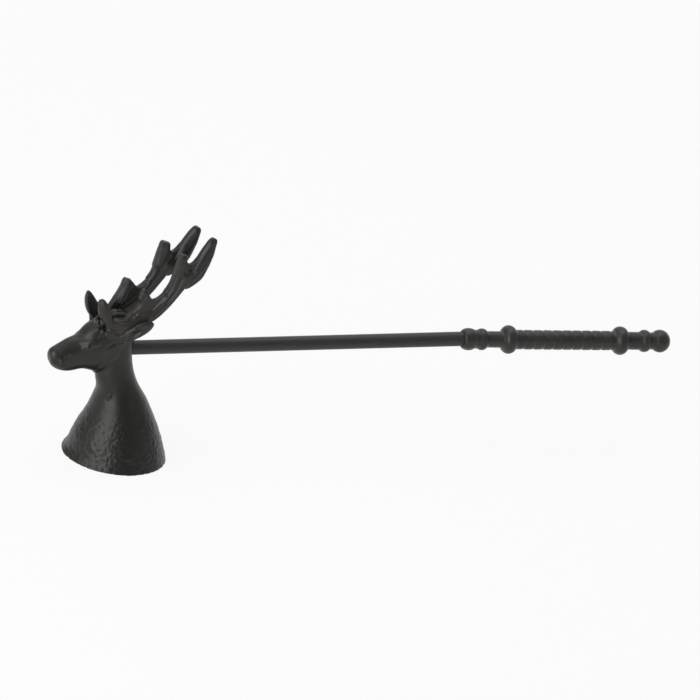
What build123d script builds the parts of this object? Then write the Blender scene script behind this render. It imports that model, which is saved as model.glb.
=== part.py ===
"""A candle snuffer: a cast stag's head whose neck flares into the snuffing bell, on a long rod.

The origin is the centre of the bell's mouth. Z is the bell's axis, X runs along the rod towards
the handle, and the stag looks along -X, so that its left side is -Y. All sizes are millimetres.
"""
from build123d import *
from math import cos, pi, radians, sin
import os

os.makedirs("parts", exist_ok=True)

# Bell and neck, one hollow casting with the head
rim_radius = 21.7
bell_wall = 2.4
neck_height = 56.3
cavity_height = 30.0

# Head, measured from the point where its axis leaves the neck, just under the neck's top
head_base_drop = 3.0
head_base_offset = 4.0
head_length = 32.9
head_pitch = 15.0
head_half_width = 6.8
head_half_height = 10.4
eye_radius = 1.5
brow_length = 8.4
brow_radius = 1.2
brow_outward = 16.0
brow_upward = 22.0
nostril_radius = 0.6

# Ears, swept back beside the antlers
ear_length = 16.3
ear_half_width = 3.5
ear_half_thickness = 1.4
ear_hollow_depth = 1.1
ear_outward = 18.0
ear_upward = 42.0
ear_turn = 12.0

# Seats of the antlers on the skull, and the antlers' pegs
pedicle_radius = 2.5
pedicle_root_radius = 3.0
pedicle_height = 6.0
pedicle_lean = 22.0
temple_length = 10.8
temple_radius = 2.7
temple_setback = 3.8
peg_radius = 1.2
peg_length = 3.0
peg_clearance = 0.05
right_seat_advance = 3.1

# Antlers; antler_bar is the half depth of a plain tine
antler_reach = 40.4
antler_rise = 41.1
antler_bar = 1.7
antler_web = 2.4
antler_bow = 1.7
coronet_radius = 2.55
coronet_height = 0.9
coronet_round = 0.35

# Rod, let into the nape below the neck's top
rod_radius = 3.0
rod_drop = 8.3
rod_reach = 146.7
rod_clearance = 0.05
rod_seat_depth = 2.0
thread_radius = 2.5
thread_length = 8.0
thread_end_gap = 0.5

# Handle, from the ferrule to the ball
handle_droop = 2.15
handle_drop = 0.1
ferrule_length = 17.6
ferrule_radius = 4.56
ferrule_bead_radius = 1.5
ferrule_waist_radius = 3.85
ferrule_ring_radius = 4.46
ferrule_sleeve_radius = 3.35
ring_bead_radius = 1.3
collar_radius = 5.86
collar_bead_radius = 2.7
collar_length = 6.5
grip_radius = 3.98
grip_length = 43.4
groove_count = 10
groove_radius = 0.7
groove_depth = 0.35
tail_length = 18.8
tail_sleeve_radius = 3.65
tail_ring_radius = 4.57
tail_waist_radius = 3.5
ball_radius = 4.68
ball_half_length = 4.25

# One overrun serves every cut
overrun = 1.0

# Heights that follow the neck
head_base_height = neck_height - head_base_drop
rod_height = neck_height - rod_drop

# Outlines, as shares of a section's two half sizes
round_shares = [(cos(pi * k / 4), sin(pi * k / 4)) for k in range(8)]
head_outline_shares = (
    (1.0, 0.10),
    (0.70, 0.74),
    (0.0, 1.0),
    (-0.70, 0.74),
    (-1.0, 0.10),
    (-0.74, -0.66),
    (0.0, -1.0),
    (0.74, -0.66),
)

# Level sections of the bell and neck: height as a share of neck_height, then the place of the
# middle, the half length and the half width as shares of rim_radius
neck_shares = (
    (0.0, 0.0, 1.0, 1.0),
    (0.0593, 0.028, 0.928, 0.936),
    (0.148, 0.014, 0.856, 0.856),
    (0.2547, 0.007, 0.743, 0.743),
    (0.361, -0.012, 0.619, 0.619),
    (0.468, -0.057, 0.504, 0.504),
    (0.574, -0.160, 0.410, 0.387),
    (0.681, -0.259, 0.372, 0.318),
    (0.7875, -0.267, 0.306, 0.276),
    (0.894, -0.267, 0.284, 0.267),
    (1.0, -0.267, 0.249, 0.240),
)
# How much of the neck's half length the hollow's dome takes in at each of its two steps
cavity_closing_share = 0.35

# Sections across the head: the distance as a share of head_length, then the middle and the half
# height as shares of head_half_height, and the half width as a share of head_half_width
head_shares = (
    (-0.111, 0.06, 0.30, 0.38),
    (-0.066, 0.06, 0.52, 0.65),
    (0.045, 0.08, 0.73, 0.87),
    (0.18, 0.09, 0.85, 0.97),
    (0.33, 0.09, 0.98, 1.0),
    (0.479, -0.065, 0.975, 0.963),
    (0.599, -0.108, 0.742, 0.846),
    (0.719, -0.130, 0.695, 0.72),
    (0.838, -0.148, 0.598, 0.65),
    (0.928, -0.100, 0.478, 0.574),
    (0.976, -0.048, 0.375, 0.456),
    (0.997, -0.02, 0.24, 0.30),
)
eye_shares = (0.508, 0.241, 0.70)
brow_shares = (0.481, 0.435, 0.72)
nostril_shares = (0.925, -0.02, 0.50)

# Sections along an ear: the distance as a share of ear_length, then the half width and the half
# thickness as shares of their own sizes
ear_shares = (
    (-0.16, 0.18, 0.35),
    (-0.04, 0.48, 0.85),
    (0.10, 0.64, 1.10),
    (0.28, 0.88, 1.05),
    (0.50, 1.0, 0.90),
    (0.72, 0.96, 0.72),
    (0.88, 0.66, 0.50),
    (0.965, 0.32, 0.28),
    (0.99, 0.16, 0.16),
)
ear_root_shares = (0.110, 0.183, 0.90)
ear_hollow_share = 0.76
ear_hollow_start_share = 0.20

# The seat of an antler: the distance along the head's base line, the height above it and the
# place sideways, as shares of the head's length, half height and half width
seat_shares = (0.2553, 0.514, 0.70)

# Limbs of an antler: the distance and height from its seat as shares of antler_reach and
# antler_rise, then the half depth and the half thickness as shares of antler_bar
bar_outline_shares = (
    (1.0, 0.0),
    (0.84, 0.84),
    (0.0, 1.0),
    (-0.84, 0.84),
    (-1.0, 0.0),
    (-0.84, -0.84),
    (0.0, -1.0),
    (0.84, -0.84),
)
beam_shares = (
    (0.0, 0.017, 1.18, 1.18),
    (0.030, 0.070, 1.08, 1.22),
    (0.133, 0.083, 1.12, 1.20),
    (0.265, 0.103, 1.30, 1.18),
    (0.385, 0.162, 1.43, 1.18),
    (0.484, 0.261, 1.54, 1.18),
    (0.574, 0.381, 1.57, 1.18),
    (0.656, 0.500, 1.53, 1.16),
    (0.736, 0.590, 1.30, 1.10),
    (0.800, 0.640, 0.90, 0.90),
)
terminal_shares = (
    (0.703, 0.480, 0.70, 0.70),
    (0.740, 0.519, 1.20, 1.02),
    (0.784, 0.566, 1.54, 1.14),
    (0.822, 0.612, 1.76, 1.12),
    (0.850, 0.672, 1.84, 1.08),
    (0.878, 0.742, 1.84, 1.04),
    (0.903, 0.815, 1.76, 0.96),
    (0.930, 0.890, 1.46, 0.88),
    (0.949, 0.945, 1.16, 0.78),
    (0.966, 0.984, 0.88, 0.62),
    (0.973, 1.0, 0.58, 0.46),
)
brow_tine_shares = (
    (-0.006, 0.060, 1.10, 1.02),
    (-0.048, 0.130, 1.56, 1.04),
    (-0.084, 0.192, 1.56, 1.02),
    (-0.112, 0.248, 1.26, 0.94),
    (-0.130, 0.297, 0.86, 0.74),
    (-0.137, 0.322, 0.52, 0.48),
    (-0.139, 0.334, 0.28, 0.28),
)
second_tine_shares = (
    (0.166, 0.100, 1.30, 1.1),
    (0.223, 0.215, 1.20, 1.02),
    (0.261, 0.298, 1.08, 0.98),
    (0.278, 0.372, 1.02, 0.92),
    (0.285, 0.420, 0.92, 0.82),
    (0.288, 0.445, 0.70, 0.60),
)
third_tine_shares = (
    (0.550, 0.400, 1.30, 1.14),
    (0.594, 0.478, 1.33, 1.14),
    (0.620, 0.572, 1.33, 1.14),
    (0.634, 0.660, 1.28, 1.08),
    (0.643, 0.745, 1.16, 1.0),
    (0.649, 0.800, 1.02, 0.90),
    (0.654, 0.836, 0.76, 0.66),
)
# Outlines of the webs in the crotches, in the same shares of reach and rise: first the curved
# edge, then the corners that lie inside the bars
lower_web_edge_shares = (
    (0.304, 0.430),
    (0.340, 0.398),
    (0.372, 0.358),
    (0.404, 0.343),
    (0.446, 0.358),
    (0.496, 0.406),
    (0.546, 0.470),
)
lower_web_root_shares = ((0.600, 0.520), (0.572, 0.382), (0.482, 0.262), (0.385, 0.162), (0.255, 0.200))
upper_web_edge_shares = (
    (0.662, 0.812),
    (0.694, 0.768),
    (0.718, 0.734),
    (0.744, 0.726),
    (0.770, 0.740),
    (0.806, 0.784),
    (0.856, 0.840),
)
upper_web_root_shares = (
    (0.903, 0.815),
    (0.850, 0.672),
    (0.740, 0.600),
    (0.656, 0.500),
    (0.620, 0.572),
)
# How far along its reach an antler has bowed outwards and come back, as a share of half a wave
bow_wave_share = 0.8

# Where the beads and rings stand, and how long they are, as shares of their stretch of the handle
ferrule_bead_share = 0.165
ferrule_ring_share = 0.505
ring_half_length_share = 0.11
collar_bead_share = 0.44
first_groove_share = 0.78
tail_ring_share = 0.403


def outline(plane, half_across, half_up, shares):
    """A smooth closed face on a plane, through shares of its two half sizes."""
    points = [(half_across * across, half_up * up) for across, up in shares]
    return plane * make_face(Spline(points, periodic=True))


def neck_section(share_row, inset):
    """The face across the bell or neck at one height, drawn in by inset."""
    height, middle, half_length, half_width = share_row
    plane = Plane(origin=(rim_radius * middle, 0, neck_height * height), x_dir=(1, 0, 0), z_dir=(0, 0, 1))
    return outline(plane, rim_radius * half_length - inset, rim_radius * half_width - inset, round_shares)


def between(rows, place):
    """The row of shares at any place along a table, in line between its neighbours."""
    for before, after in zip(rows, rows[1:]):
        if place <= after[0]:
            break
    share = (place - before[0]) / (after[0] - before[0])
    return tuple(low + share * (high - low) for low, high in zip(before, after))


def bell_and_neck():
    return loft([neck_section(row, 0) for row in neck_shares])


def bell_hollow():
    """The snuffing hollow, open at the mouth and closed by a small dome."""
    top = cavity_height / neck_height
    rows = [row for row in neck_shares if row[0] < top * (1 - cavity_closing_share / 2)]
    sections = [neck_section(row, bell_wall) for row in rows]
    last = between(neck_shares, top * (1 - cavity_closing_share / 10))
    half = rim_radius * last[2]
    sections.append(neck_section(last, bell_wall + half * cavity_closing_share))
    last = between(neck_shares, top)
    sections.append(neck_section(last, bell_wall + half * 2 * cavity_closing_share))
    mouth = neck_section(neck_shares[0], bell_wall)
    return loft(sections) + extrude(mouth, -overrun)


def head_point(along, up, across):
    """A point of the head, from shares of its length, half height and half width."""
    ahead = head_length * along
    above = head_half_height * up
    tilt = radians(head_pitch)
    x = -head_base_offset - ahead * cos(tilt) - above * sin(tilt)
    z = head_base_height - ahead * sin(tilt) + above * cos(tilt)
    return Vector(x, head_half_width * across, z)


def head():
    """The skull and muzzle, lofted from the back of the skull to the nose."""
    tilt = radians(head_pitch)
    sections = []
    for along, middle, half_height, half_width in head_shares:
        plane = Plane(
            origin=head_point(along, middle, 0),
            x_dir=(0, 1, 0),
            z_dir=(-cos(tilt), 0, -sin(tilt)),
        )
        sections.append(
            outline(plane, head_half_width * half_width, head_half_height * half_height, head_outline_shares)
        )
    return loft(sections)


def seat(side):
    """Where an antler stands: side is -1 for the stag's left and 1 for its right."""
    along, up, across = seat_shares
    advance = right_seat_advance * (1 + side) / 2
    return Vector(
        -head_base_offset - head_length * along - advance,
        side * head_half_width * across,
        head_base_height + head_half_height * up,
    )


def pedicle(side):
    """The stump of bone under an antler, widening into the skull."""
    stump = Cone(
        pedicle_root_radius,
        pedicle_radius,
        pedicle_height,
        align=(Align.CENTER, Align.CENTER, Align.MAX),
    )
    stump = Rot(-side * pedicle_lean, 0, 0) * Pos(0, 0, overrun) * stump
    top = Cylinder(2 * pedicle_root_radius, pedicle_height, align=(Align.CENTER, Align.CENTER, Align.MIN))
    return Pos(seat(side)) * (stump - top)


def temple(side):
    """The swelling of the skull behind an antler, as high as the top of the coronet."""
    half = Ellipse(temple_length / 2, temple_radius)
    half -= Rectangle(temple_length, 2 * temple_radius, align=(Align.CENTER, Align.MAX))
    shape = revolve(Plane.XZ * half, Axis.X)
    return Pos(seat(side)) * Pos(temple_setback, 0, coronet_height - temple_radius) * shape


def leaf(length, half_width, half_thickness):
    """An ear's leaf along X, wide in Z and thin in Y."""
    sections = []
    for along, width, thickness in ear_shares:
        plane = Plane(origin=(length * along, 0, 0), x_dir=(0, 1, 0), z_dir=(1, 0, 0))
        sections.append(outline(plane, half_thickness * thickness, half_width * width, round_shares))
    return loft(sections)


def ear(side):
    """An ear with its hollow to the outside."""
    hollow = leaf(
        ear_length * ear_hollow_share,
        ear_half_width * ear_hollow_share,
        ear_half_thickness,
    )
    outward = 2 * ear_half_thickness - ear_hollow_depth
    hollow = Pos(ear_length * ear_hollow_start_share, side * outward, 0) * hollow
    shape = leaf(ear_length, ear_half_width, ear_half_thickness) - hollow
    shape = Rot(-side * ear_turn, 0, 0) * shape
    shape = Rot(0, -ear_upward, side * ear_outward) * shape
    root = head_point(*ear_root_shares)
    return Pos(root.X, side * root.Y, root.Z) * shape


def eye(side):
    along, up, across = eye_shares
    return Pos(head_point(along, up, side * across)) * Rot(90, 0, 0) * Sphere(eye_radius)


def brow(side):
    """The ridge of bone over an eye, from the face back to the temple."""
    half = Ellipse(brow_length / 2, brow_radius)
    half -= Rectangle(brow_length, 2 * brow_radius, align=(Align.CENTER, Align.MAX))
    shape = Rot(0, -brow_upward, side * brow_outward) * revolve(Plane.XZ * half, Axis.X)
    along, up, across = brow_shares
    return Pos(head_point(along, up, side * across)) * shape


def nostril(side):
    along, up, across = nostril_shares
    return Pos(head_point(along, up, side * across)) * Sphere(nostril_radius)


def nape():
    """The X of the back of the neck at the rod's height."""
    height, middle, half_length, half_width = between(neck_shares, rod_height / neck_height)
    return rim_radius * (middle + half_length)


def along_rod(start, length, radius):
    """A round bar on the rod's axis, from start towards the handle."""
    plane = Plane(origin=(start, 0, rod_height), z_dir=(1, 0, 0))
    return extrude(plane * Circle(radius), length)


def bust():
    """The casting of bell, neck, head and ears, bored for the rod and both antlers."""
    shape = bell_and_neck() + head()
    for side in (-1, 1):
        shape += pedicle(side)
        shape += temple(side)
        shape += ear(side)
        shape += eye(side)
        shape += brow(side)
    shape -= bell_hollow()
    socket = nape() - rod_seat_depth
    depth = thread_length + thread_end_gap
    shape -= along_rod(socket, rod_seat_depth + rod_radius + overrun, rod_radius + rod_clearance)
    shape -= along_rod(socket - depth, depth + overrun, thread_radius + rod_clearance)
    for side in (-1, 1):
        hole = Cylinder(
            peg_radius + peg_clearance,
            peg_length + thread_end_gap + overrun,
            align=(Align.CENTER, Align.CENTER, Align.MAX),
        )
        shape -= Pos(seat(side)) * Pos(0, 0, overrun) * hole
        shape -= Pos(seat(side)) * Cylinder(
            coronet_radius + peg_clearance, pedicle_height, align=(Align.CENTER, Align.CENTER, Align.MIN)
        )
        shape -= nostril(side)
    return shape


def bow(x):
    """How far an antler stands outwards at a distance along its reach."""
    return antler_bow * sin(pi * bow_wave_share * x / antler_reach)


def limb(share_rows, side, first_upright):
    """A tapering bar through its stations, level or upright at its first one as asked."""
    points = []
    for along, up, depth, thickness in share_rows:
        x = antler_reach * along
        points.append(Vector(x, side * bow(x), antler_rise * up))
    sections = []
    for index, point in enumerate(points):
        before = points[max(index - 1, 0)]
        after = points[min(index + 1, len(points) - 1)]
        direction = after - before
        if index == 0 and first_upright:
            direction = Vector(0, 0, 1)
        plane = Plane(origin=point, x_dir=direction.cross(Vector(0, 1, 0)).cross(direction), z_dir=direction)
        depth, thickness = share_rows[index][2:]
        sections.append(outline(plane, antler_bar * thickness, antler_bar * depth, bar_outline_shares))
    return loft(sections)


def web(edge_shares, root_shares, side):
    """A thin plate that fills a crotch up to a curved edge."""
    edge = [(antler_reach * x, antler_rise * z) for x, z in edge_shares]
    root = [(antler_reach * x, antler_rise * z) for x, z in root_shares]
    sides = Polyline([edge[-1], *root, edge[0]])
    plate = extrude(Plane.XZ * make_face(Spline(edge) + sides), antler_web / 2, both=True)
    middle = sum(x for x, z in edge) / len(edge)
    return Pos(0, side * bow(middle), 0) * plate


def antler(side):
    """One antler, with its coronet and the peg that holds it in the skull."""
    shape = Cylinder(coronet_radius, coronet_height, align=(Align.CENTER, Align.CENTER, Align.MIN))
    shape = fillet(shape.edges().filter_by(GeomType.CIRCLE), coronet_round)
    shape += Cylinder(peg_radius, peg_length, align=(Align.CENTER, Align.CENTER, Align.MAX))
    shape += limb(beam_shares, side, True)
    for rows in (brow_tine_shares, second_tine_shares, third_tine_shares, terminal_shares):
        shape += limb(rows, side, False)
    shape += web(lower_web_edge_shares, lower_web_root_shares, side)
    shape += web(upper_web_edge_shares, upper_web_root_shares, side)
    return Pos(seat(side)) * shape


def rod():
    """The steel bar, with a thinner threaded stretch at each end."""
    start = nape() - rod_seat_depth
    length = rod_reach + 2 * rod_seat_depth
    shape = along_rod(start, length, rod_radius)
    shape += along_rod(start - thread_length, length + 2 * thread_length, thread_radius)
    return shape


def bead(place, radius, half_length, bead_radius):
    """A round bead of the handle's half section: its crest, and the arc's own radius."""
    return Pos(place, radius - bead_radius) * Ellipse(half_length, bead_radius)


def sleeve(start, length, radius):
    """A plain stretch of the handle's half section."""
    return Pos(start, 0) * Rectangle(length, radius, align=(Align.MIN, Align.MIN))


def handle_profile():
    """Half of the handle's section, with its axis on X and the ferrule's face at zero."""
    grip = ferrule_length + collar_length
    second_collar = grip + grip_length
    tail = second_collar + collar_length
    ring_half = ferrule_length * ring_half_length_share
    front = ferrule_length * ferrule_bead_share
    shape = sleeve(front, ferrule_length * ferrule_ring_share - front, ferrule_waist_radius)
    shape += sleeve(front, ferrule_length + collar_length / 2 - front, ferrule_sleeve_radius)
    shape += bead(front, ferrule_radius, front, ferrule_bead_radius)
    shape += sleeve(0, front, ferrule_radius - ferrule_bead_radius)
    shape += bead(ferrule_length * ferrule_ring_share, ferrule_ring_radius, ring_half, ring_bead_radius)
    for start in (ferrule_length, second_collar):
        middle = start + collar_length / 2
        shape += bead(middle, collar_radius, collar_length * collar_bead_share, collar_bead_radius)
    shape += sleeve(grip - collar_length / 2, grip_length + collar_length, grip_radius)
    foot = tail - collar_length / 2
    shape += sleeve(foot, tail + tail_length * tail_ring_share - foot, tail_sleeve_radius)
    shape += sleeve(tail, tail_length - ball_half_length, tail_waist_radius)
    shape += bead(tail + tail_length * tail_ring_share, tail_ring_radius, ring_half, ring_bead_radius)
    shape += Pos(tail + tail_length - ball_half_length, 0) * Ellipse(ball_half_length, ball_radius)
    pitch = grip_length / groove_count
    for groove in range(groove_count):
        place = grip + pitch * (groove + first_groove_share)
        shape -= Pos(place, grip_radius + groove_radius - groove_depth) * Circle(groove_radius)
    reach = tail + tail_length + overrun
    return shape - Pos(-overrun, 0) * Rectangle(
        reach + overrun, collar_radius + overrun, align=(Align.MIN, Align.MAX)
    )


def handle():
    """The turned and cast handle, a little out of line with the rod, as the real one is."""
    start = nape() + rod_reach
    shape = revolve(Plane.XZ * handle_profile(), Axis.X)
    shape = Pos(start, 0, rod_height - handle_drop) * Rot(0, handle_droop, 0) * shape
    shape -= along_rod(start - overrun, rod_seat_depth + overrun, rod_radius + rod_clearance)
    depth = thread_length + thread_end_gap
    return shape - along_rod(start, rod_seat_depth + depth, thread_radius + rod_clearance)


def write(name, shape):
    export_step(shape, f"parts/{name}.step")
    print(name, "volume", round(shape.volume, 1), "solids", len(shape.solids()))


if __name__ == "__main__":
    write("bust", bust())
    write("antler_left", antler(-1))
    write("antler_right", antler(1))
    write("rod", rod())
    write("handle", handle())
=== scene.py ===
import math

import bmesh
import bpy
import numpy as np
from bpy.props import FloatProperty, FloatVectorProperty, IntProperty, PointerProperty
from mathutils import Matrix, Vector, noise


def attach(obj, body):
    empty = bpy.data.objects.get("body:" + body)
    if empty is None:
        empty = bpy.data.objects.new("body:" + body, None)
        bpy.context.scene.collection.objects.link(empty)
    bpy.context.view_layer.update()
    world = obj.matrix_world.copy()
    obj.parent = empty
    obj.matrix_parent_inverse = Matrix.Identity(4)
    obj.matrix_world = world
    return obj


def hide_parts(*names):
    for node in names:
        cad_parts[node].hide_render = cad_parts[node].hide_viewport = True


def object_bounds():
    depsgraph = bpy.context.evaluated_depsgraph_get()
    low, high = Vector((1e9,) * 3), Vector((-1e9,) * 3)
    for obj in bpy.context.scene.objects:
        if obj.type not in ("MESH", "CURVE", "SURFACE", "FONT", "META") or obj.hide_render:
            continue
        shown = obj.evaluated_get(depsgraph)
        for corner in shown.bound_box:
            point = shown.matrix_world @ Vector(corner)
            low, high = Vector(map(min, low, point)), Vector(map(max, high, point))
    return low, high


bl_info = {
    "name": "Stag's head candle snuffer",
    "version": (1, 0, 0),
    "blender": (4, 5, 0),
    "location": "3D View > Sidebar > Snuffer",
    "description": "Sculpts and finishes the castings of a candle snuffer, and lights it",
    "category": "Object",
}

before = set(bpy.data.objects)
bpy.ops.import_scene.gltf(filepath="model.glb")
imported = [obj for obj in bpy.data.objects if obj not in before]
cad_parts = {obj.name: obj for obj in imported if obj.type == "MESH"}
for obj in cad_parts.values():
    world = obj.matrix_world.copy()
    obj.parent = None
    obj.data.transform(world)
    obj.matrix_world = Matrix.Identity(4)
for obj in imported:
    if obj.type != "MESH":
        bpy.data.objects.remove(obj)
cad_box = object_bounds()

MM = 0.001
ROOT = "root"
NEAR_SIDE = -1
SIDES = (NEAR_SIDE, 1)
ORIGIN = (0.0, 0.0, 0.0)
WHITE = (1.0, 1.0, 1.0, 1.0)

# The head's places are in millimetres in the object's frame. They are given for the stag's left side,
# where Y is negative, and the right side mirrors them
EYE = (-21.5, -5.6, 51.3)
EYE_CORNER = (-23.2, -5.1, 50.8)
EYE_CORNER_SHARE = 0.45
NOSTRIL = (-31.9, -3.8, 44.6)
PEARLS = ((-17.2, -1.6, 61.0), (-17.8, -3.9, 58.9), (-15.6, -5.0, 58.2))

# Rolls laid on before the casting is softened: points with the roll's radius there
ROLLS = (
    # Upper lid
    ((-22.4, -4.4, 52.0, 1.1), (-20.8, -4.7, 52.5, 1.7), (-19.0, -5.0, 52.8, 2.0),
     (-17.5, -5.3, 53.4, 1.8)),
    # Brow's edge
    ((-17.5, -6.0, 54.8, 0.55), (-16.6, -5.5, 56.4, 0.55), (-15.8, -5.0, 57.6, 0.55)),
    # Jaw
    ((-14.4, -3.0, 41.2, 1.9), (-12.4, -3.8, 43.2, 1.9), (-10.4, -4.5, 46.0, 1.9),
     (-8.8, -4.8, 48.0, 1.9)),
    # Ground under the pearls
    ((-17.0, -2.0, 59.7, 1.1), (-16.0, -3.6, 58.9, 1.1)),
    ((-18.6, 0.0, 61.2, 1.3), (-17.0, 0.0, 62.4, 1.3)),
    # Crest between the antlers, in the middle and beside it
    ((-11.0, 0.0, 61.2, 2.4), (-5.0, 0.0, 61.2, 2.4)),
    ((-11.2, -1.4, 62.2, 1.6), (-9.0, -1.4, 63.6, 1.7), (-6.0, -1.6, 63.4, 1.7),
     (-3.8, -1.6, 62.0, 1.6)),
    # Ear's lower edge
    ((-0.1, -9.0, 58.9, 0.9), (-1.1, -8.6, 57.9, 1.1), (-2.5, -8.1, 57.1, 1.1), (-3.9, -7.6, 56.5, 0.9)),
    # Gap between the ear and the antler
    ((-6.9, -7.9, 58.6, 0.7), (-5.6, -8.0, 59.9, 0.8), (-3.9, -8.1, 61.4, 0.8), (-1.7, -8.3, 62.8, 0.8)),
    # Throat
    ((-15.4, -1.2, 40.3, 1.9), (-14.5, -0.8, 39.5, 1.9), (-13.8, 0.0, 38.8, 1.9)),
)

# Places rubbed smooth: the line of each, and its reach to either side
SMOOTHED = (
    # Forehead and brow
    (((-22.6, -2.2, 56.6), (-20.8, -2.6, 58.0), (-19.0, -2.8, 59.2)), 3.6),
    (((-19.4, -4.6, 57.0), (-18.2, -5.2, 56.4)), 2.6),
    # Cheek and throat
    (((-18.2, -3.7, 40.5), (-16.4, -5.2, 42.3), (-13.4, -6.0, 46.3), (-9.9, -6.2, 48.8)), 3.0),
    (((-15.0, -2.2, 40.0), (-12.3, -2.9, 41.8), (-10.0, -4.5, 45.2)), 3.2),
    # Nose
    (((-35.2, -1.2, 48.4), (-34.9, -2.6, 47.3), (-34.3, -3.4, 46.0)), 3.0),
)

# Each stroke has its line, its reach to either side and its height, which is below zero where it
# presses the surface in. These two come before the rubbing: the forehead, pressed in, and the brow
FACE_SWELLS = (
    (((-22.0, -0.6, 57.8), (-20.7, -0.8, 59.3), (-19.5, 0.0, 60.3)), 7.0, -0.40),
    (((-21.4, -3.2, 57.0), (-19.8, -3.4, 58.0), (-18.6, -3.6, 58.7)), 3.6, 0.45),
)
FACE_STROKES = (
    # Brow's edge
    (((-17.5, -5.9, 55.5), (-16.7, -5.6, 56.7), (-15.8, -5.2, 57.8), (-15.3, -4.9, 58.3)), 0.8, 0.25),
    # Grooves on the temple
    (((-16.2, -6.1, 55.6), (-14.6, -6.2, 58.5)), 0.9, -0.30),
    (((-16.8, -6.7, 52.0), (-15.7, -6.5, 54.1)), 0.9, -0.35),
    # Side of the nose, nostril's wing and the crease behind it
    (((-35.4, -2.5, 44.8), (-34.6, -3.0, 43.4)), 2.4, 0.20),
    (((-31.9, -4.3, 44.9), (-31.7, -4.3, 44.3)), 1.0, 0.40),
    (((-30.7, -4.3, 43.4), (-30.7, -4.4, 44.8), (-30.1, -4.4, 46.0), (-28.9, -4.4, 47.1)), 0.9, -0.35),
    # Fold behind the cheek
    (((-12.8, -6.8, 51.9), (-9.9, -6.6, 53.5)), 1.0, -0.35),
    # The pearls' tops
    (((-17.2, -1.6, 61.1), (-17.1, -1.7, 60.8)), 0.9, 0.60),
    (((-17.8, -4.0, 59.0), (-17.6, -4.0, 58.8)), 0.9, 0.60),
    (((-15.8, -5.1, 58.2), (-15.6, -5.1, 58.0)), 0.9, 0.60),
)
# A flaw in the cast neck, on the left side alone
NECK_STROKES = (
    (((-9.7, -6.5, 27.5), (-8.8, -7.2, 28.3), (-8.2, -7.3, 30.3)), 0.6, -0.50),
    (((-9.2, -6.6, 29.2), (-9.0, -6.7, 29.4)), 0.8, 0.40),
)
# Ear strokes are seen from the side: X and Z
EAR_STROKES = (
    (((-8.7, 56.4), (-6.2, 59.0), (-3.8, 61.6)), 0.7, 0.40),
    (((-6.9, 54.8), (-4.3, 57.4)), 0.8, 0.30),
    (((-5.0, 54.9), (-1.4, 60.0)), 1.1, -0.45),
)

# The broad foot between an antler's first two tines, which runs down onto the skull and the ear:
# rows of points on its outer face, in millimetres from the antler's seat, with Y away from the head
FOOT_ROWS = (
    ((-3.5, 1.24, 7.4), (-1.5, 1.44, 6.2), (0.4, 1.54, 5.0), (2.6, 1.74, 4.8), (5.0, 2.04, 5.0),
     (7.4, 2.34, 6.4), (10.0, 2.54, 8.2), (13.4, 2.94, 9.2), (16.0, 3.14, 10.0)),
    ((-3.2, 1.44, 3.9), (-1.5, 1.84, 3.0), (0.5, 2.14, 2.6), (2.6, 2.44, 2.7), (4.9, 2.84, 2.9),
     (7.1, 2.94, 3.8), (9.8, 3.24, 5.2), (13.2, 3.44, 6.4), (15.8, 3.44, 8.0)),
    ((-2.3, 0.64, 0.2), (-1.0, 1.34, -1.0), (0.6, 1.84, -1.6), (2.5, 2.24, -1.6), (4.5, 2.84, -0.8),
     (6.5, 3.24, 0.5), (9.2, 3.64, 2.2), (12.2, 3.94, 4.0), (14.8, 3.84, 5.6)),
)

# The antlers' seats, and pulls, which differ from one antler to the other. A pull has its line, as X
# and Z in millimetres from the seat, its reach, and the move along X, outwards and along Z
ANTLER_SEATS = {"antler_left": (-12.40, -4.76, 58.65), "antler_right": (-15.50, 4.76, 58.65)}
ANTLER_PULLS = {
    "antler_left": (
        # First tine, the hollow behind it, and the second tine's front and tip
        (((-6.8, 12.2), (-6.6, 10.2), (-6.1, 7.8), (-5.0, 4.8)), 2.2, (0.0, -0.8, 0.0)),
        (((0.2, 6.6), (0.0, 7.2)), 2.6, (-0.9, 0.0, -0.3)),
        (((7.0, 9.8), (7.8, 11.6)), 3.6, (1.1, 0.0, -0.4)),
        (((9.6, 13.6), (10.6, 18.0)), 4.4, (0.6, 0.0, 0.2)),
    ),
    "antler_right": (
        # First tine
        (((-6.8, 12.2), (-6.6, 10.2), (-6.1, 7.8), (-5.0, 4.8)), 2.2, (0.0, -0.8, 0.0)),
        # Third tine: back edge, root and front edge
        (((27.8, 33.5), (27.0, 29.6), (26.3, 26.7), (25.5, 24.6)), 2.8, (0.1, -1.1, 0.0)),
        (((24.2, 21.4), (22.2, 17.6), (19.6, 14.0)), 2.8, (0.0, -0.45, 0.0)),
        (((24.8, 35.0), (23.9, 29.0), (22.6, 24.5)), 2.2, (-0.45, 0.0, 0.0)),
        # Second tine: back edge and tip
        (((12.6, 18.0), (12.0, 15.2), (10.8, 11.6), (9.4, 8.2)), 2.2, (0.0, -0.9, 0.0)),
        (((14.3, 17.0), (15.2, 14.6)), 2.0, (0.9, 0.0, 0.0)),
        # Last tine
        (((35.4, 28.6), (37.0, 32.5), (38.8, 36.5), (39.6, 39.5)), 3.6, (0.0, -1.2, 0.0)),
    ),
}
# Places rubbed smooth on the antlers' inner sides, in the object's frame. They were chosen on the right
# antler, whose inner side shows, but have the left side's sign of Y
ANTLER_SMOOTHED = (
    (((14.2, -5.2, 86.9), (13.6, -4.5, 83.6), (12.3, -4.5, 80.9)), 3.0),
    (((8.6, -5.5, 89.5), (7.9, -5.0, 84.3), (5.0, -4.6, 77.0)), 2.0),
    (((1.0, -5.0, 71.8), (0.1, -4.7, 68.3), (-1.0, -4.1, 65.5)), 3.0),
)
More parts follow.
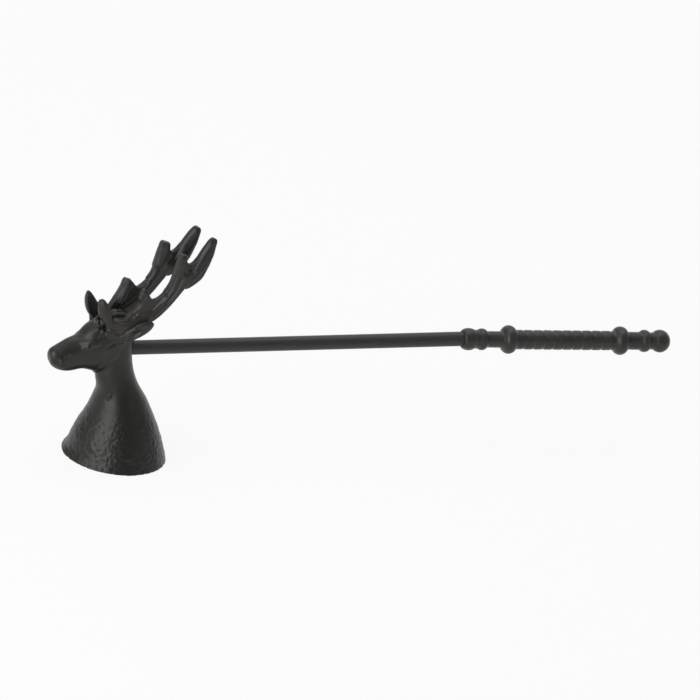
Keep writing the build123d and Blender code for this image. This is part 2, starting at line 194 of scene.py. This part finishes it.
# Strokes on an antler's outer face: X and Z from its seat
ANTLER_STROKES = (
    # Rim of the foot, up to the second tine
    (((-1.9, 9.6), (-1.1, 7.2), (1.2, 4.9), (3.2, 4.9), (5.4, 5.6)), 0.7, 0.22),
    (((5.4, 5.6), (6.8, 7.8), (8.8, 11.7), (10.8, 16.4)), 0.7, 0.22),
    # Second tine
    (((8.6, 8.3), (10.1, 12.0), (11.6, 16.2)), 1.0, -0.25),
    (((12.8, 15.9), (11.5, 11.7), (10.0, 7.8)), 0.7, 0.25),
    (((10.0, 7.7), (8.7, 6.6)), 0.9, 0.35),
    # Third tine and the beam below it
    (((19.7, 13.5), (21.9, 16.2), (23.5, 20.2), (24.6, 24.7), (24.9, 30.1), (25.2, 33.6)), 0.8, 0.40),
    (((20.8, 16.4), (22.3, 19.7), (23.3, 23.4), (24.0, 28.2), (24.2, 32.0)), 0.7, -0.40),
    (((21.2, 13.0), (25.2, 19.4), (26.6, 26.5), (27.0, 31.5)), 0.8, -0.30),
    (((17.0, 7.6), (20.9, 11.8), (25.1, 17.7), (27.8, 24.6)), 0.8, 0.30),
    # Last tine
    (((31.8, 27.0), (32.6, 29.3), (33.6, 31.7), (35.6, 35.6), (37.6, 39.1)), 0.8, 0.40),
    (((33.4, 27.6), (34.9, 31.3), (36.8, 35.4), (38.4, 38.4)), 0.8, -0.35),
    (((31.6, 23.6), (35.9, 28.7), (38.6, 34.0)), 0.8, 0.30),
    # Crotch of the last fork
    (((29.6, 28.2), (30.6, 28.6)), 1.4, -0.50),
)

# Meshing: corners closer than the weld are one, and each softening pass moves a corner by a share
WELD = 0.001 * MM
SOFTENING_SHARE = 0.5
BALL_SUBDIVISIONS = 2
# Balls of a roll lie this share of its least radius apart
BALL_STEP_SHARE = 0.4
# Strokes carved from the side have full height where a face's normal points sideways by half or
# more, and less beyond that
FLANK_GAIN = 2

# Hammer marks fade over this share of the hammered height, and a finer, weaker set lies on them
HAMMER_FADE_SHARE = 0.35
FINE_MARK_SHARE = 0.5
FINE_MARK_RATIO = 2.1
FINE_MARK_OFFSET = Vector((7.0, 3.0, 5.0))
# The cast waviness has this many waves to each hammer mark
CAST_WAVE_RATIO = 0.4

# Where the noise of the paint's patches turns from dark to light, and that of the sand from gloss to dull
PATCH_RANGE = (0.35, 0.65)
SAND_RANGE = (0.3, 0.7)

# The studio, in metres to the right of, above and in front of the object, as the camera sees it
CAMERA_PLACE = (0.09707, 0.04221, 1.2)
# Lamps: name, place, size and share of the softbox power
SOFTBOXES = (
    ("softbox left", (-0.46, 0.06, 0.66), (0.62, 0.8), 1.0),
    ("softbox top", (0.15, 1.0, 0.2), (1.0, 0.6), 0.6),
)
# Paper cards round the set: name, colour, turn to the right of the camera in degrees, and width
CARDS = (
    ("grey card", "#c8c8c8", 18.0, 1.34),
    ("white card right", "#f0f0f0", 80.0, 2.34),
    ("white card left", "#f0f0f0", -116.0, 2.1),
)
CARD_DISTANCE = 1.5
CARD_HEIGHT = 3.2
FLOOR_SIZE = (12.0, 12.0)
FLOOR_COLOUR = "#f4f4f4"
# How much of the floor's white is its own glow where the camera or a reflection sees it
FLOOR_GLOW = 0.88


def linear(code):
    """An sRGB colour, written #rrggbb, made linear, with alpha."""
    values = [int(code[k:k + 2], 16) / 255 for k in (1, 3, 5)]
    return tuple(c / 12.92 if c <= 0.04045 else ((c + 0.055) / 1.055) ** 2.4 for c in values) + (1.0,)


class SnufferSculpt(bpy.types.PropertyGroup):
    """Sizes of the modelled detail."""
    bust_grain: FloatProperty(
        name="Bust grain", description="Edge of the bust's mesh", default=0.000385, unit="LENGTH")
    antler_grain: FloatProperty(
        name="Antler grain", description="Edge of the antlers' mesh", default=0.0002, unit="LENGTH")
    handle_grain: FloatProperty(
        name="Handle grain", description="Edge of the handle's mesh", default=0.00025, unit="LENGTH")
    hammered_height: FloatProperty(
        name="Hammered height", description="Top of the hammered zone of the bell",
        default=0.025, unit="LENGTH")
    hammered_depth: FloatProperty(
        name="Hammered depth", description="Depth of the hammer marks", default=0.00018, unit="LENGTH")
    hammered_pitch: FloatProperty(
        name="Hammered pitch", description="Distance between the hammer marks",
        default=0.0014, unit="LENGTH")
    cast_depth: FloatProperty(
        name="Cast depth", description="Waviness of the cast surfaces", default=0.00005, unit="LENGTH")
    bust_swell: FloatProperty(
        name="Bust swell", description="Makes up what softening takes from the bust",
        default=0.00010, unit="LENGTH")
    antler_swell: FloatProperty(
        name="Antler swell", description="Makes up what softening takes from an antler",
        default=0.00012, unit="LENGTH")
    handle_swell: FloatProperty(
        name="Handle swell", description="Makes up what softening takes from the handle",
        default=0.00005, unit="LENGTH")
    foot_depth: FloatProperty(
        name="Foot depth", description="Thickness of the antlers' broad foot",
        default=0.0022, unit="LENGTH")
    antler_wave: FloatProperty(
        name="Antler wave", description="Distance between the antlers' slight waves",
        default=0.0022, unit="LENGTH")
    handle_wave: FloatProperty(
        name="Handle wave", description="Distance between the handle's slight waves",
        default=0.0028, unit="LENGTH")
    pearl_radius: FloatProperty(
        name="Pearl radius", description="Radius of the beads at the antlers' base",
        default=0.0008, unit="LENGTH")
    eye_radius: FloatProperty(
        name="Eye radius", description="Radius of the eyeball", default=0.0013, unit="LENGTH")
    nostril_radius: FloatProperty(
        name="Nostril radius", description="Radius of the nostril's wing",
        default=0.00115, unit="LENGTH")
    rubbing: IntProperty(
        name="Rubbing", description="Passes over the places rubbed smooth", default=30)
    bust_softening: IntProperty(
        name="Bust softening", description="Passes that soften the bust", default=4)
    antler_softening: IntProperty(
        name="Antler softening", description="Passes that soften an antler", default=4)
    handle_softening: IntProperty(
        name="Handle softening", description="Passes that soften the handle", default=4)


class SnufferFinish(bpy.types.PropertyGroup):
    """Colours, gloss and fine texture of the finishes."""
    iron_tone: FloatVectorProperty(
        name="Iron", description="Satin black of the castings",
        subtype="COLOR", size=4, default=linear("#1f1e1b"))
    antler_tone: FloatVectorProperty(
        name="Antlers", description="Satin black of the antlers",
        subtype="COLOR", size=4, default=linear("#282624"))
    handle_tone: FloatVectorProperty(
        name="Handle", description="Satin black of the handle",
        subtype="COLOR", size=4, default=linear("#2b2a28"))
    rod_tone: FloatVectorProperty(
        name="Rod", description="Satin black of the rod",
        subtype="COLOR", size=4, default=linear("#2d2c2b"))
    paint_ior: FloatProperty(
        name="Paint IOR", description="Index of refraction of the paint", default=1.42)
    iron_roughness: FloatProperty(
        name="Iron roughness", description="Roughness of the castings", default=0.34, subtype="FACTOR")
    iron_gloss_gain: FloatProperty(
        name="Iron gloss gain", description="How much smoother the glossiest spots are", default=0.05)
    iron_gloss_loss: FloatProperty(
        name="Iron gloss loss", description="How much rougher the dullest spots are", default=0.07)
    sand_density: FloatProperty(
        name="Sand density", description="Sand grains of the mould per millimetre", default=1.1)
    sand_depth: FloatProperty(
        name="Sand depth", description="Depth of the sand grain", default=0.00012, unit="LENGTH")
    sand_strength: FloatProperty(
        name="Sand strength", description="How much of the sand grain shows through the paint",
        default=0.25, subtype="FACTOR")
    patch_density: FloatProperty(
        name="Patch density", description="Thin and thick patches of paint per millimetre", default=0.16)
    patch_dark: FloatProperty(
        name="Patch dark", description="Tone of the darker patches, against the paint's", default=0.86)
    patch_light: FloatProperty(
        name="Patch light", description="Tone of the lighter patches, against the paint's", default=1.12)
    # The paint is darker towards the bottom of the object, below these heights
    darkening_bottom: FloatProperty(
        name="Darkening bottom", description="Height below which the darkening is at its strongest",
        default=0.022, unit="LENGTH")
    darkening_top: FloatProperty(
        name="Darkening top", description="Height above which there is no darkening", default=0.044, unit="LENGTH")
    darkening_tone: FloatProperty(
        name="Darkening tone", description="Tone of the sooted paint, against clean paint", default=0.75)
    rod_roughness: FloatProperty(
        name="Rod roughness", description="Roughness of the rod", default=0.42, subtype="FACTOR")
    line_density_along: FloatProperty(
        name="Draw lines along", description="Draw lines per millimetre of length", default=0.03)
    line_density_across: FloatProperty(
        name="Draw lines across", description="Draw lines per millimetre across the rod", default=0.9)
    line_depth: FloatProperty(
        name="Draw line depth", description="Depth of the draw lines", default=0.00005, unit="LENGTH")
    line_strength: FloatProperty(
        name="Draw line strength", description="How much of the draw lines shows through the paint",
        default=0.08, subtype="FACTOR")
    line_dark: FloatProperty(
        name="Draw line dark", description="Tone of the darker lines, against the paint's", default=0.92)
    line_light: FloatProperty(
        name="Draw line light", description="Tone of the lighter lines, against the paint's", default=1.08)


class SnufferStage(bpy.types.PropertyGroup):
    """The floor, the lamps and the camera."""
    azimuth: FloatProperty(
        name="Azimuth", description="Camera's turn round the object",
        default=math.radians(-25.01), subtype="ANGLE")
    elevation: FloatProperty(
        name="Elevation", description="Camera's height over the horizon",
        default=math.radians(24.19), subtype="ANGLE")
    roll: FloatProperty(
        name="Roll", description="Lean of the object in the picture",
        default=math.radians(9.31), subtype="ANGLE")
    width: FloatProperty(
        name="Width", description="Width of the picture at the object", default=0.28698, unit="LENGTH")
    world_strength: FloatProperty(
        name="World", description="Strength of the all-round light", default=0.55)
    softbox_power: FloatProperty(
        name="Softbox", description="Power of the large lamp", default=4.0)


def add(tree, kind, settings=None, inputs=None, links=None):
    """Adds a node with its settings, its plain input values and its links from other sockets."""
    made = tree.nodes.new(kind)
    for key, value in (settings or {}).items():
        setattr(made, key, value)
    for key, value in (inputs or {}).items():
        made.inputs[key].default_value = value
    for key, socket in (links or {}).items():
        tree.links.new(socket, made.inputs[key])
    return made


def empty_tree(owner):
    """The node tree of a material or a world, emptied."""
    owner.use_nodes = True
    owner.node_tree.nodes.clear()
    return owner.node_tree


def two_tones(tree, value, colour, dark, light):
    """A ramp between a darker and a lighter tone of one colour."""
    ramp = add(tree, "ShaderNodeValToRGB", links={"Fac": value})
    for element, share in zip(ramp.color_ramp.elements, (dark, light)):
        element.color = tuple(c * share for c in colour[:3]) + (1.0,)
    return ramp


def cast_iron(name, colour):
    """Cast iron under satin black stove paint.

    The eye gets the mould's fine sand grain, glossier paint where it is thin, and patches of tone.
    """
    finish = bpy.context.scene.snuffer_finish
    material = bpy.data.materials.new(name)
    tree = empty_tree(material)
    place = add(tree, "ShaderNodeTexCoord").outputs["Object"]
    sand = add(tree, "ShaderNodeTexNoise", inputs={
        "Scale": finish.sand_density / MM, "Detail": 3.0, "Roughness": 0.6,
    }, links={"Vector": place}).outputs["Fac"]
    patches = add(tree, "ShaderNodeTexNoise", inputs={
        "Scale": finish.patch_density / MM, "Detail": 2.0,
    }, links={"Vector": place}).outputs["Fac"]
    tone = two_tones(tree, patches, colour, finish.patch_dark, finish.patch_light)
    for element, position in zip(tone.color_ramp.elements, PATCH_RANGE):
        element.position = position
    # The paint is darker towards the bottom: at the darkening tone below the bottom height, and at its
    # full tone above the top height
    height = add(tree, "ShaderNodeSeparateXYZ", links={"Vector": place}).outputs["Z"]
    undarkened = add(tree, "ShaderNodeMapRange", inputs={
        "From Min": finish.darkening_bottom, "From Max": finish.darkening_top,
        "To Min": finish.darkening_tone, "To Max": 1.0,
    }, links={"Value": height})
    darkened = add(tree, "ShaderNodeVectorMath", {"operation": "SCALE"}, links={
        "Vector": tone.outputs["Color"], "Scale": undarkened.outputs["Result"],
    })
    rough = add(tree, "ShaderNodeMapRange", inputs={
        "From Min": SAND_RANGE[0], "From Max": SAND_RANGE[1],
        "To Min": finish.iron_roughness - finish.iron_gloss_gain,
        "To Max": finish.iron_roughness + finish.iron_gloss_loss,
    }, links={"Value": sand})
    bump = add(tree, "ShaderNodeBump", inputs={
        "Strength": finish.sand_strength, "Distance": finish.sand_depth,
    }, links={"Height": sand})
    shader = add(tree, "ShaderNodeBsdfPrincipled", inputs={"IOR": finish.paint_ior}, links={
        "Base Color": darkened.outputs["Vector"], "Roughness": rough.outputs["Result"],
        "Normal": bump.outputs["Normal"],
    })
    add(tree, "ShaderNodeOutputMaterial", links={"Surface": shader.outputs["BSDF"]})
    return material


def drawn_rod():
    """Drawn steel bar under satin black paint: smooth, with faint draw lines along its length."""
    finish = bpy.context.scene.snuffer_finish
    material = bpy.data.materials.new("satin black drawn bar")
    tree = empty_tree(material)
    place = add(tree, "ShaderNodeTexCoord").outputs["Object"]
    across = finish.line_density_across / MM
    stretched = add(tree, "ShaderNodeMapping", inputs={
        "Scale": (finish.line_density_along / MM, across, across),
    }, links={"Vector": place})
    lines = add(tree, "ShaderNodeTexNoise", inputs={
        "Scale": 1.0, "Detail": 2.0,
    }, links={"Vector": stretched.outputs["Vector"]}).outputs["Fac"]
    tone = two_tones(tree, lines, finish.rod_tone, finish.line_dark, finish.line_light)
    bump = add(tree, "ShaderNodeBump", inputs={
        "Strength": finish.line_strength, "Distance": finish.line_depth,
    }, links={"Height": lines})
    shader = add(tree, "ShaderNodeBsdfPrincipled", inputs={
        "Roughness": finish.rod_roughness, "IOR": finish.paint_ior,
    }, links={"Base Color": tone.outputs["Color"], "Normal": bump.outputs["Normal"]})
    add(tree, "ShaderNodeOutputMaterial", links={"Surface": shader.outputs["BSDF"]})
    return material


def surface(piece):
    """The corners of a mesh and their normals, as arrays."""
    count = len(piece.data.vertices)
    corners = np.zeros(count * 3)
    normals = np.zeros(count * 3)
    piece.data.vertices.foreach_get("co", corners)
    piece.data.vertices.foreach_get("normal", normals)
    return corners.reshape(-1, 3), normals.reshape(-1, 3)


def put(piece, corners):
    """Moves a mesh's corners, within the box of the CAD model."""
    low, high = (np.array(corner) for corner in cad_box)
    piece.data.vertices.foreach_set("co", np.clip(corners, low, high).ravel())
    piece.data.update()


def bake(piece):
    """Turns a piece's modifiers into its mesh."""
    shown = piece.evaluated_get(bpy.context.evaluated_depsgraph_get())
    mesh = bpy.data.meshes.new_from_object(shown)
    piece.modifiers.clear()
    piece.data = mesh


def soften(bm, verts, passes):
    """Draws the given corners towards their neighbours, a little with each pass."""
    for _ in range(passes):
        bmesh.ops.smooth_vert(
            bm, verts=verts, factor=SOFTENING_SHARE, use_axis_x=True, use_axis_y=True, use_axis_z=True)


def foot(bm, seat, side, depth):
    """Adds the broad foot of an antler, as a thick curved plate."""
    columns, rows = len(FOOT_ROWS[0]), len(FOOT_ROWS)
    made = bmesh.ops.create_grid(bm, x_segments=columns - 1, y_segments=rows - 1, size=1.0)
    verts = sorted(made["verts"], key=lambda vert: (round(vert.co.y, 4), round(vert.co.x, 4)))
    points = [point for row in FOOT_ROWS for point in row]
    for vert, (x, out, z) in zip(verts, points):
        vert.co = Vector((seat[0] + x, seat[1] + side * out, seat[2] + z)) * MM
    faces = list({face for vert in verts for face in vert.link_faces})
    bmesh.ops.recalc_face_normals(bm, faces=faces)
    if faces[0].normal.y * side < 0:
        bmesh.ops.reverse_faces(bm, faces=faces)
    made = bmesh.ops.solidify(bm, geom=faces, thickness=depth)
    shell = {item for item in made["geom"] if isinstance(item, bmesh.types.BMFace)}
    bmesh.ops.recalc_face_normals(bm, faces=list(shell | set(faces)))


def casting(node, title, kind, balls=(), plate=None):
    """A casting that starts from its plain solid, with extra balls and a plate run into it.

    The kind says which of the sculpt's settings give its mesh, its softening and its swell.
    """
    sculpt = bpy.context.scene.snuffer_sculpt
    bm = bmesh.new()
    bm.from_mesh(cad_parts[node].data)
    bmesh.ops.remove_doubles(bm, verts=bm.verts, dist=WELD)
    for centre, radius in balls:
        place = Matrix.Translation(Vector(centre) * MM)
        bmesh.ops.create_icosphere(bm, subdivisions=BALL_SUBDIVISIONS, radius=radius, matrix=place)
    if plate:
        foot(bm, *plate)
    mesh = bpy.data.meshes.new(title)
    bm.to_mesh(mesh)
    bm.free()
    piece = bpy.data.objects.new(title, mesh)
    bpy.context.scene.collection.objects.link(piece)
    remesh = piece.modifiers.new("even mesh", "REMESH")
    remesh.mode = "VOXEL"
    remesh.voxel_size = getattr(sculpt, f"{kind}_grain")
    bake(piece)
    bm = bmesh.new()
    bm.from_mesh(piece.data)
    soften(bm, bm.verts, getattr(sculpt, f"{kind}_softening"))
    bmesh.ops.recalc_face_normals(bm, faces=bm.faces)
    bm.to_mesh(piece.data)
    bm.free()
    corners, normals = surface(piece)
    put(piece, corners + normals * getattr(sculpt, f"{kind}_swell"))
    return piece


def mirrored(line, side):
    """A line of the left side, on the given side of the object."""
    return [(x, -side * y, z) for x, y, z in line]


def beads(line):
    """Balls close together along a line whose points have a radius each."""
    line = [Vector(point) for point in line]
    step = BALL_STEP_SHARE * min(point.w for point in line)
    points = []
    for start, end in zip(line, line[1:]):
        count = max(int((end - start).length / step), 1)
        points += [start.lerp(end, k / count) for k in range(count)]
    return [(tuple(point.xyz), point.w * MM) for point in points + line[-1:]]


def nearness(corners, points, radius):
    """How near each corner is to a line of points: 1 on it and 0 from the radius outwards."""
    best = np.full(len(corners), np.inf)
    for start, end in zip(points, points[1:]):
        run = end - start
        share = np.clip((corners - start) @ run / (run @ run), 0, 1)
        best = np.minimum(best, np.linalg.norm(corners - start - share[:, None] * run, axis=1))
    return np.clip(1 - (best / radius) ** 2, 0, 1) ** 2


def rub(piece, spots, side, passes):
    """Smooths the surface round each line."""
    corners, _ = surface(piece)
    near = np.zeros(len(corners))
    for line, reach in spots:
        near = np.maximum(near, nearness(corners, np.array(mirrored(line, side)) * MM, reach * MM))
    bm = bmesh.new()
    bm.from_mesh(piece.data)
    bm.verts.ensure_lookup_table()
    soften(bm, [bm.verts[index] for index in np.flatnonzero(near)], passes)
    bm.to_mesh(piece.data)
    bm.free()
    put(piece, surface(piece)[0])


def carve(corners, normals, strokes, side):
    """Raises or presses in the surface along each stroke, on one side of the object."""
    for line, radius, height in strokes:
        near = nearness(corners, np.array(mirrored(line, side)) * MM, radius * MM)
        corners += normals * (near * height * MM)[:, None]


def seen_from_side(corners, seat):
    """X and Z of each corner, from a seat."""
    return corners[:, (0, 2)] - np.array((seat[0], seat[2])) * MM


def carve_flank(corners, normals, strokes, side, seat):
    """Carves strokes given by X and Z from a seat into the faces that look to one side."""
    flat = seen_from_side(corners, seat)
    facing = np.clip(normals[:, 1] * side * FLANK_GAIN, 0, 1)
    for line, radius, height in strokes:
        near = nearness(flat, np.array(line) * MM, radius * MM) * facing
        corners += normals * (near * height * MM)[:, None]


def pull_flank(corners, pulls, side, seat):
    """Moves whole parts of an antler, seen from its side, with a soft edge to each move."""
    for line, radius, move in pulls:
        near = nearness(seen_from_side(corners, seat), np.array(line) * MM, radius * MM)
        corners += near[:, None] * np.array((move[0], move[1] * side, move[2])) * MM


def waver(piece, pitch, depth):
    """Gives a cast surface its slight waviness."""
    corners, normals = surface(piece)
    for index, corner in enumerate(corners):
        corners[index] += normals[index] * noise.noise(Vector(corner) / pitch) * depth
    put(piece, corners)


def hammer(piece, sculpt):
    """Hammer marks low on the bell, fading out towards the neck, and waviness all over."""
    corners, normals = surface(piece)
    height = sculpt.hammered_height
    for index, corner in enumerate(corners):
        share = min(max((height - corner[2]) / (height * HAMMER_FADE_SHARE), 0.0), 1.0)
        spot = Vector(corner) / sculpt.hammered_pitch
        if share > 0:
            fine = noise.noise(spot * FINE_MARK_RATIO + FINE_MARK_OFFSET)
            mark = noise.noise(spot) + FINE_MARK_SHARE * fine
            corners[index] += normals[index] * mark * share * sculpt.hammered_depth
        mark = noise.noise(spot * CAST_WAVE_RATIO)
        corners[index] += normals[index] * mark * sculpt.cast_depth
    put(piece, corners)


def finish_piece(piece, node, material):
    """Paints a piece, shades it smooth and puts it in place of its plain solid."""
    piece.data.materials.clear()
    piece.data.materials.append(material)
    piece.data.polygons.foreach_set("use_smooth", [True] * len(piece.data.polygons))
    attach(piece, ROOT)
    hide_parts(node)


class SNUFFER_OT_bust(bpy.types.Operator):
    """Sculpts the bust: the stag's head and ears over the hammered bell"""
    bl_idname = "snuffer.bust"
    bl_label = "Bust"

    def execute(self, context):
        sculpt = context.scene.snuffer_sculpt
        balls = [(pearl, sculpt.pearl_radius) for pearl in PEARLS]
        balls.append((EYE, sculpt.eye_radius))
        balls.append((EYE_CORNER, sculpt.eye_radius * EYE_CORNER_SHARE))
        balls.append((NOSTRIL, sculpt.nostril_radius))
        for line in ROLLS:
            balls += beads(line)
        balls = [(mirrored((ball,), side)[0], radius) for side in SIDES for ball, radius in balls]
        piece = casting("bust", "stag_bust", "bust", balls)
        corners, normals = surface(piece)
        for side in SIDES:
            carve(corners, normals, FACE_SWELLS, side)
        put(piece, corners)
        for side in SIDES:
            rub(piece, SMOOTHED, side, sculpt.rubbing)
        corners, normals = surface(piece)
        for side in SIDES:
            carve(corners, normals, FACE_STROKES, side)
            carve_flank(corners, normals, EAR_STROKES, side, ORIGIN)
        carve(corners, normals, NECK_STROKES, NEAR_SIDE)
        put(piece, corners)
        hammer(piece, sculpt)
        # Full paint: the darkest of the castings
        iron = cast_iron("satin black cast iron", context.scene.snuffer_finish.iron_tone)
        finish_piece(piece, "bust", iron)
        return {"FINISHED"}


class SNUFFER_OT_antlers(bpy.types.Operator):
    """Sculpts both antlers"""
    bl_idname = "snuffer.antlers"
    bl_label = "Antlers"

    def execute(self, context):
        sculpt = context.scene.snuffer_sculpt
        # Thin paint on the slender tines: a little paler than the bust
        thin = cast_iron(
            "satin black cast iron, thinly painted", context.scene.snuffer_finish.antler_tone)
        for node, seat in ANTLER_SEATS.items():
            title = node.replace("antler", "stag_antler")
            side = math.copysign(1, seat[1])
            piece = casting(node, title, "antler", plate=(seat, side, sculpt.foot_depth))
            corners, normals = surface(piece)
            pull_flank(corners, ANTLER_PULLS[node], side, seat)
            put(piece, corners)
            rub(piece, ANTLER_SMOOTHED, side, sculpt.rubbing)
            corners, normals = surface(piece)
            carve_flank(corners, normals, ANTLER_STROKES, side, seat)
            put(piece, corners)
            waver(piece, sculpt.antler_wave, sculpt.cast_depth)
            finish_piece(piece, node, thin)
        return {"FINISHED"}


class SNUFFER_OT_handle(bpy.types.Operator):
    """Softens the turned handle into a casting"""
    bl_idname = "snuffer.handle"
    bl_label = "Handle"

    def execute(self, context):
        sculpt = context.scene.snuffer_sculpt
        piece = casting("handle", "ribbed_handle", "handle")
        waver(piece, sculpt.handle_wave, sculpt.cast_depth)
        # Paint rubbed by use: the palest of the castings
        worn = cast_iron(
            "satin black cast iron, dulled by hands", context.scene.snuffer_finish.handle_tone)
        finish_piece(piece, "handle", worn)
        return {"FINISHED"}


class SNUFFER_OT_rod(bpy.types.Operator):
    """Paints the rod"""
    bl_idname = "snuffer.rod"
    bl_label = "Rod"

    def execute(self, context):
        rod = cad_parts["rod"]
        rod.data.materials.clear()
        rod.data.materials.append(drawn_rod())
        return {"FINISHED"}


def view_axes(stage):
    """Right, up and back of the camera, in the object's frame."""
    azimuth, elevation, roll = stage.azimuth, stage.elevation, stage.roll
    back = Vector((
        math.sin(azimuth) * math.cos(elevation),
        -math.cos(azimuth) * math.cos(elevation),
        math.sin(elevation),
    ))
    level = Vector((0, 0, 1)).cross(back).normalized()
    rise = back.cross(level)
    # The object leans to the right in the picture, so the camera leans to the left
    right = level * math.cos(roll) + rise * math.sin(roll)
    up = rise * math.cos(roll) - level * math.sin(roll)
    return right, up, back


def aim(item, back, up):
    """Turns a lamp, camera or card so that its back points along one vector, with another upwards."""
    back = Vector(back).normalized()
    right = Vector(up).cross(back).normalized()
    turn = Matrix((right, back.cross(right), back)).transposed()
    item.matrix_world = Matrix.Translation(item.location) @ turn.to_4x4()


def add_camera(scene, axes, width):
    """A camera without perspective."""
    right, up, back = axes
    x, y, z = CAMERA_PLACE
    data = bpy.data.cameras.new("camera")
    data.type = "ORTHO"
    data.ortho_scale = width
    camera = bpy.data.objects.new("camera", data)
    scene.collection.objects.link(camera)
    camera.location = right * x + up * y + back * z
    aim(camera, back, up)
    scene.camera = camera


def higher(tree, first, second):
    """The higher of two sockets' values."""
    return add(tree, "ShaderNodeMath", {"operation": "MAXIMUM"}, links={0: first, 1: second}).outputs[0]


def add_world(scene, strength):
    """A white world, at full strength for what the camera and reflections see, dimmer as a light."""
    world = bpy.data.worlds.new("white studio")
    scene.world = world
    tree = empty_tree(world)
    rays = add(tree, "ShaderNodeLightPath").outputs
    clear = higher(tree, rays["Is Camera Ray"], rays["Is Transmission Ray"])
    seen = higher(tree, clear, rays["Is Glossy Ray"])
    shown = add(tree, "ShaderNodeMapRange", inputs={
        "To Min": strength, "To Max": 1.0,
    }, links={"Value": seen})
    light = add(tree, "ShaderNodeBackground", inputs={"Color": WHITE}, links={
        "Strength": shown.outputs["Result"],
    })
    add(tree, "ShaderNodeOutputWorld", links={"Surface": light.outputs[0]})


def add_softbox(scene, axes, name, place, size, power):
    """A square-edged soft lamp, turned to the object."""
    right, up, back = axes
    x, y, z = place
    lamp = bpy.data.lights.new(name, "AREA")
    lamp.shape = "RECTANGLE"
    lamp.size, lamp.size_y = size
    lamp.energy = power
    item = bpy.data.objects.new(name, lamp)
    scene.collection.objects.link(item)
    item.location = right * x + up * y + back * z
    aim(item, item.location, up)


def sheet(scene, name, size, material):
    """A flat sheet of the set."""
    bm = bmesh.new()
    bmesh.ops.create_grid(bm, x_segments=1, y_segments=1, size=0.5)
    bmesh.ops.scale(bm, vec=(*size, 1.0), verts=bm.verts)
    mesh = bpy.data.meshes.new(name)
    bm.to_mesh(mesh)
    bm.free()
    mesh.materials.append(material)
    item = bpy.data.objects.new(name, mesh)
    scene.collection.objects.link(item)
    return item


def add_card(scene, axes, name, code, turn, width):
    """Matt paper out of the camera's sight, which the castings mirror."""
    right, up, back = axes
    material = bpy.data.materials.new(name)
    tree = empty_tree(material)
    lit = add(tree, "ShaderNodeBsdfDiffuse", inputs={"Color": linear(code)})
    add(tree, "ShaderNodeOutputMaterial", links={"Surface": lit.outputs[0]})
    card = sheet(scene, name, (width, CARD_HEIGHT), material)
    turn = math.radians(turn)
    card.location = (right * math.sin(turn) + back * math.cos(turn)) * CARD_DISTANCE
    card.visible_camera = False
    aim(card, card.location, up)


def add_floor(scene):
    """A white paper sweep that takes soft shadows and otherwise shows as plain white."""
    material = bpy.data.materials.new("white paper sweep")
    tree = empty_tree(material)
    rays = add(tree, "ShaderNodeLightPath").outputs
    lit = add(tree, "ShaderNodeBsdfDiffuse", inputs={"Color": linear(FLOOR_COLOUR)})
    glow = add(tree, "ShaderNodeEmission", inputs={"Color": WHITE})
    seen = higher(tree, rays["Is Camera Ray"], rays["Is Glossy Ray"])
    share = add(tree, "ShaderNodeMath", {"operation": "MULTIPLY"}, {1: FLOOR_GLOW}, {0: seen})
    mix = add(tree, "ShaderNodeMixShader", links={
        0: share.outputs[0], 1: lit.outputs[0], 2: glow.outputs[0],
    })
    add(tree, "ShaderNodeOutputMaterial", links={"Surface": mix.outputs[0]})
    sheet(scene, "floor", FLOOR_SIZE, material)


class SNUFFER_OT_stage(bpy.types.Operator):
    """Sets up the pale floor, the soft lamps and the camera"""
    bl_idname = "snuffer.stage"
    bl_label = "Stage"

    def execute(self, context):
        scene = context.scene
        stage = scene.snuffer_stage
        axes = view_axes(stage)
        add_camera(scene, axes, stage.width)
        add_world(scene, stage.world_strength)
        for name, place, size, share in SOFTBOXES:
            add_softbox(scene, axes, name, place, size, stage.softbox_power * share)
        for card in CARDS:
            add_card(scene, axes, *card)
        add_floor(scene)
        scene.view_settings.view_transform = "Standard"
        return {"FINISHED"}


class SNUFFER_PT_panel(bpy.types.Panel):
    """The snuffer's pieces and their settings"""
    bl_idname = "SNUFFER_PT_panel"
    bl_label = "Candle snuffer"
    bl_space_type = "VIEW_3D"
    bl_region_type = "UI"
    bl_category = "Snuffer"

    def draw(self, context):
        for group in GROUPS:
            settings = getattr(context.scene, group)
            box = self.layout.box()
            for name in settings.bl_rna.properties.keys():
                if name not in ("rna_type", "name"):
                    box.prop(settings, name)
        for operator in OPERATORS:
            self.layout.operator(operator.bl_idname)


OPERATORS = (SNUFFER_OT_bust, SNUFFER_OT_antlers, SNUFFER_OT_handle, SNUFFER_OT_rod, SNUFFER_OT_stage)
GROUPS = {
    "snuffer_sculpt": SnufferSculpt,
    "snuffer_finish": SnufferFinish,
    "snuffer_stage": SnufferStage,
}
CLASSES = (*GROUPS.values(), *OPERATORS, SNUFFER_PT_panel)


def register():
    for group in CLASSES:
        bpy.utils.register_class(group)
    for name, group in GROUPS.items():
        setattr(bpy.types.Scene, name, PointerProperty(type=group))


def unregister():
    for name in GROUPS:
        delattr(bpy.types.Scene, name)
    for group in reversed(CLASSES):
        bpy.utils.unregister_class(group)


def main():
    register()
    bpy.ops.snuffer.bust()
    bpy.ops.snuffer.antlers()
    bpy.ops.snuffer.handle()
    bpy.ops.snuffer.rod()
    bpy.ops.snuffer.stage()


if __name__ == "__main__":
    main()
